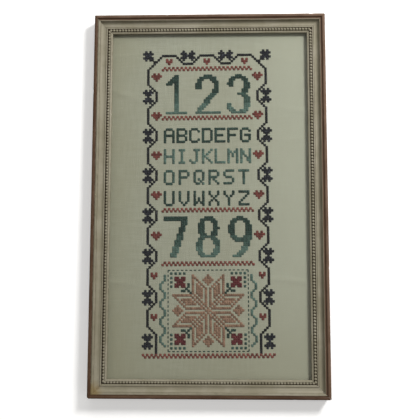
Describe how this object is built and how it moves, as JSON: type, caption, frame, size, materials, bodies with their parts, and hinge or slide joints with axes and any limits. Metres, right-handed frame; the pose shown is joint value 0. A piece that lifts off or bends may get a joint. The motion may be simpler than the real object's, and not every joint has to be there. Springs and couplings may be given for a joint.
{
  "type": "cross stitch sampler in a picture frame",
  "caption": "Tall even-weave linen sampler worked in cross stitch, stretched on a board behind glass in a mitred wooden frame with a coved, beaded moulding and a flat back.",
  "frame": {"origin": "the middle of the frame's back, in the plane that it rests on", "axes": "+X to the right of the face, +Y towards the sampler's top edge, +Z out of the face"},
  "size_m": [0.252, 0.412, 0.019],
  "materials": {
    "frame_wood": "matt cream paint, worn, with a brown stained outer edge",
    "picture_glass": "clear",
    "linen": "undyed even weave with coloured cross stitch",
    "back_board": "plain hardboard"
  },
  "bodies": {
    "root": {"rail_top": "frame_wood", "rail_bottom": "frame_wood", "rail_left": "frame_wood", "rail_right": "frame_wood", "glass_pane": "picture_glass", "sampler_cloth": "linen", "backing_board": "back_board"}
  },
  "joints": []
}
